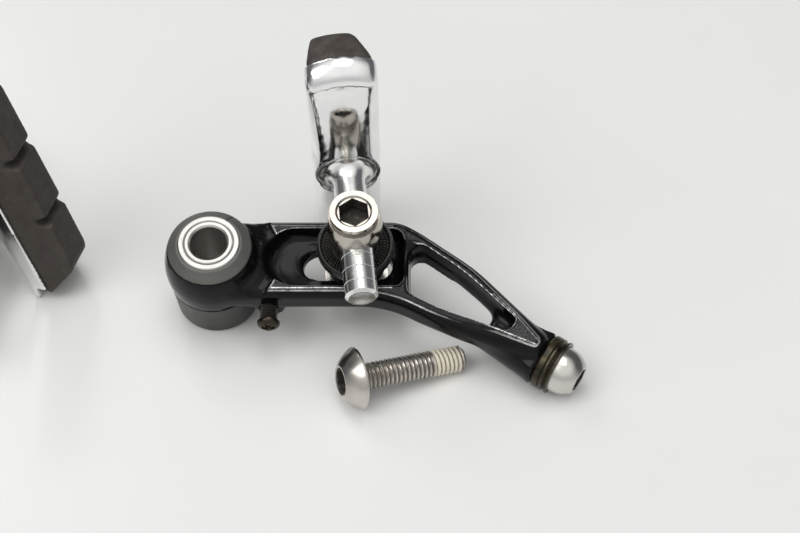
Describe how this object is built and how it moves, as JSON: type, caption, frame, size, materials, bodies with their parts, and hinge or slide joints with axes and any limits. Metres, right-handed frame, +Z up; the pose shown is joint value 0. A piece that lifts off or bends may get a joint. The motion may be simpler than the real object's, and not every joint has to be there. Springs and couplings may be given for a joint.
{
  "type": "pair of cantilever brakes",
  "caption": "Mirror-image cantilever rim brakes with forged arms, sprung pivots and pads on clamped posts, lying beside their loose mounting bolts.",
  "frame": {"origin": "middle of the pair's bounding box on the table it lies on", "axes": "+Z up from the table, +Y away from the viewer towards the right brake's rim, +X to the viewer's right"},
  "size_m": [0.1756, 0.1018, 0.0649],
  "materials": {
    "black_anodised": "gloss black anodised forging",
    "grey_anodised": "satin dark grey",
    "polished_aluminium": "mirror polished",
    "turned_aluminium": "fine turned",
    "bright_steel": "machined",
    "nickel_steel": "nickel plated, softly polished",
    "stainless": "polished stainless",
    "dark_steel": "black oxide",
    "dirty_steel": "dark and oily",
    "spring_steel": "drawn wire",
    "black_plastic": "satin black",
    "pad_rubber": "brown-black, lightly worn"
  },
  "bodies": {
    "hubs": {"right_pivot_sleeve": "bright_steel", "right_spring_housing": "black_plastic", "right_return_spring": "spring_steel", "right_mounting_bolt": "stainless", "left_pivot_sleeve": "bright_steel", "left_spring_housing": "black_plastic", "left_return_spring": "spring_steel", "left_mounting_bolt": "stainless"},
    "right_arm": {"right_arm": "black_anodised", "right_pivot_bush": "bright_steel", "right_pivot_cap": "grey_anodised", "right_anchor_inner_ring": "dirty_steel", "right_anchor_outer_ring": "dirty_steel"},
    "right_clamp": {"right_seat_washer": "dark_steel", "right_knurled_washer": "dark_steel", "right_lower_washer": "bright_steel", "right_clamp_nut": "bright_steel"},
    "right_eyebolt": {"right_eyebolt": "nickel_steel"},
    "right_post": {"right_pad_post": "turned_aluminium"},
    "right_pad": {"right_pad_holder": "polished_aluminium", "right_brake_pad": "pad_rubber", "right_pad_screw": "dark_steel"},
    "right_tension_screw": {"right_tension_screw": "dark_steel"},
    "right_anchor_bolt": {"right_anchor_bolt": "stainless"},
    "left_arm": {"left_arm": "black_anodised", "left_pivot_bush": "bright_steel", "left_pivot_cap": "grey_anodised", "left_anchor_inner_ring": "dirty_steel", "left_anchor_outer_ring": "dirty_steel"},
    "left_clamp": {"left_seat_washer": "dark_steel", "left_knurled_washer": "dark_steel", "left_lower_washer": "bright_steel", "left_clamp_nut": "bright_steel"},
    "left_eyebolt": {"left_eyebolt": "nickel_steel"},
    "left_post": {"left_pad_post": "turned_aluminium"},
    "left_pad": {"left_pad_holder": "polished_aluminium", "left_brake_pad": "pad_rubber", "left_pad_screw": "dark_steel"},
    "left_tension_screw": {"left_tension_screw": "dark_steel"},
    "left_anchor_bolt": {"left_anchor_bolt": "stainless"}
  },
  "joints": [
    {"name": "right_pivot", "type": "hinge", "parent": "hubs", "child": "right_arm", "pos_m": [0.00647, -0.01878, 0.01372], "axis": [0.012, -0.2433, 0.9699], "range_deg": [-1.5, 12], "stiffness_Nm_per_rad": 1, "deforming": ["right_return_spring"]},
    {"name": "right_clamp_slide", "type": "slide", "parent": "right_arm", "child": "right_clamp", "axis": [0.9999, 0, -0.0124], "range_m": [-0.007, 0.003]},
    {"name": "right_eye_turn", "type": "hinge", "parent": "right_clamp", "child": "right_eyebolt", "pos_m": [0.0382, -0.02138, 0.02371], "axis": [0.012, -0.2433, 0.9699], "range_deg": [-12, 12]},
    {"name": "right_post_slide", "type": "slide", "parent": "right_eyebolt", "child": "right_post", "axis": [-0.105, 0.9643, 0.2432], "range_m": [-0.003, 0.006]},
    {"name": "right_pad_turn", "type": "hinge", "parent": "right_post", "child": "right_pad", "pos_m": [0.03826, -0.0227, 0.02895], "axis": [-0.105, 0.9643, 0.2432], "range_deg": [-12, 12]},
    {"name": "right_tension_slide", "type": "slide", "parent": "right_arm", "child": "right_tension_screw", "axis": [0.003, 0.97, 0.2433], "range_m": [-0.002, 0.0015]},
    {"name": "right_anchor_slide", "type": "slide", "parent": "right_arm", "child": "right_anchor_bolt", "axis": [0.837, -0.5283, -0.1429], "range_m": [0, 0.0025]},
    {"name": "left_pivot", "type": "hinge", "parent": "hubs", "child": "left_arm", "pos_m": [-0.06104, -0.03289, 0.01372], "axis": [0.2388, -0.0479, -0.9699], "range_deg": [-1.5, 12], "stiffness_Nm_per_rad": 1, "deforming": ["left_return_spring"]},
    {"name": "left_clamp_slide", "type": "slide", "parent": "left_arm", "child": "left_clamp", "axis": [0.1478, 0.9889, -0.0124], "range_m": [-0.007, 0.003]},
    {"name": "left_eye_turn", "type": "hinge", "parent": "left_clamp", "child": "left_eyebolt", "pos_m": [-0.05893, -0.00112, 0.02371], "axis": [0.2388, -0.0479, -0.9699], "range_deg": [-12, 12]},
    {"name": "left_post_slide", "type": "slide", "parent": "left_eyebolt", "child": "left_post", "axis": [0.9382, -0.2464, 0.2432], "range_m": [-0.003, 0.006]},
    {"name": "left_pad_turn", "type": "hinge", "parent": "left_post", "child": "left_pad", "pos_m": [-0.06021, -0.00087, 0.02895], "axis": [-0.9382, 0.2464, -0.2432], "range_deg": [-12, 12]},
    {"name": "left_tension_slide", "type": "slide", "parent": "left_arm", "child": "left_tension_screw", "axis": [0.9597, -0.1404, 0.2433], "range_m": [-0.002, 0.0015]},
    {"name": "left_anchor_slide", "type": "slide", "parent": "left_arm", "child": "left_anchor_bolt", "axis": [-0.3988, 0.9059, -0.1429], "range_m": [0, 0.0025]}
  ]
}
